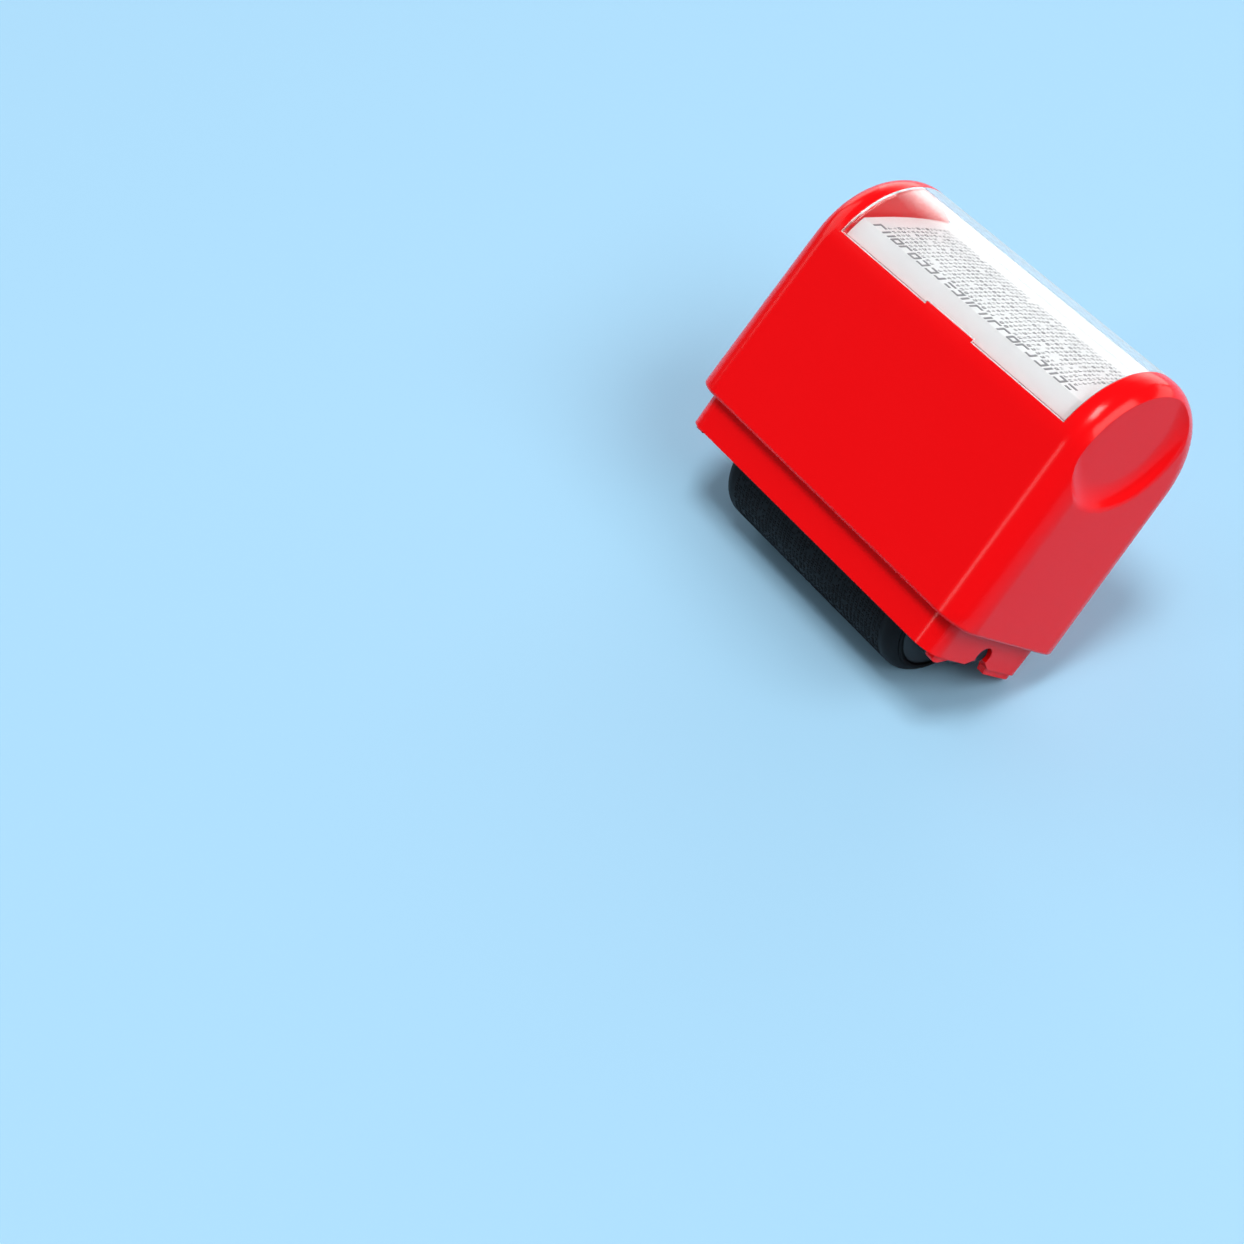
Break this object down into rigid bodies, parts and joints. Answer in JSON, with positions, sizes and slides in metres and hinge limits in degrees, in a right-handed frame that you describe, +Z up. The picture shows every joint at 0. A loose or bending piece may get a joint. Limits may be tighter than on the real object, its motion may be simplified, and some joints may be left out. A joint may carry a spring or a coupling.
{
  "type": "privacy roller stamp",
  "caption": "Hand-held roller stamp that prints a masking pattern: red hood with clear window and label card over a sprung ink roller and print roller",
  "frame": {"origin": "on the table, under the middle of the box of the stamp at rest", "axes": "+X along the rollers to the right, +Y to the back that the stamp leans towards, +Z up"},
  "size_m": [0.065, 0.0472, 0.051],
  "materials": {
    "red_gloss": "glossy moulded red ABS",
    "clear_window": "clear polished window",
    "card_white": "matt white coated label card",
    "black_satin": "satin black moulding",
    "print_rubber": "dense black print rubber",
    "ink_felt": "felt soaked with black ink",
    "dark_steel": "blackened steel",
    "bright_steel": "bright drawn steel"
  },
  "bodies": {
    "cartridge": {"inner_frame": "red_gloss", "cartridge_lid": "black_satin", "ink_spring_left": "bright_steel", "ink_spring_right": "bright_steel"},
    "print_roller": {"print_sleeve": "print_rubber", "print_core": "black_satin", "print_axle": "dark_steel", "print_hub_left": "black_satin", "print_hub_right": "black_satin", "axle_clip_left": "dark_steel", "axle_clip_right": "dark_steel"},
    "ink_carrier": {"ink_carrier": "black_satin"},
    "ink_roller": {"ink_felt": "ink_felt", "ink_tube": "black_satin", "ink_axle": "bright_steel", "ink_cap_left": "black_satin", "ink_cap_right": "black_satin"},
    "housing": {"housing": "red_gloss", "label_card": "card_white"},
    "window": {"window": "clear_window"}
  },
  "joints": [
    {"name": "print_roller_turn", "type": "hinge", "parent": "cartridge", "child": "print_roller", "pos_m": [0, -0.01194, 0.0104], "axis": [1, 0, 0], "continuous": true},
    {"name": "ink_carrier_press", "type": "slide", "parent": "cartridge", "child": "ink_carrier", "axis": [0, 0.6254, 0.7803], "range_m": [0, 0.001], "stiffness_N_per_m": 400, "springref_m": -0.001, "deforming": ["ink_spring_left", "ink_spring_right"]},
    {"name": "ink_roller_turn", "type": "hinge", "parent": "ink_carrier", "child": "ink_roller", "pos_m": [0, -0.00137, 0.02359], "axis": [1, 0, 0], "continuous": true},
    {"name": "housing_lift", "type": "slide", "parent": "cartridge", "child": "housing", "axis": [0, 0.6254, 0.7803], "range_m": [0, 0.028]},
    {"name": "window_lift", "type": "slide", "parent": "housing", "child": "window", "axis": [0, 0.6254, 0.7803], "range_m": [0, 0.012]}
  ],
  "couplings": [
    {"joint": "ink_roller_turn", "follows": "print_roller_turn", "ratio": -1.6774}
  ]
}
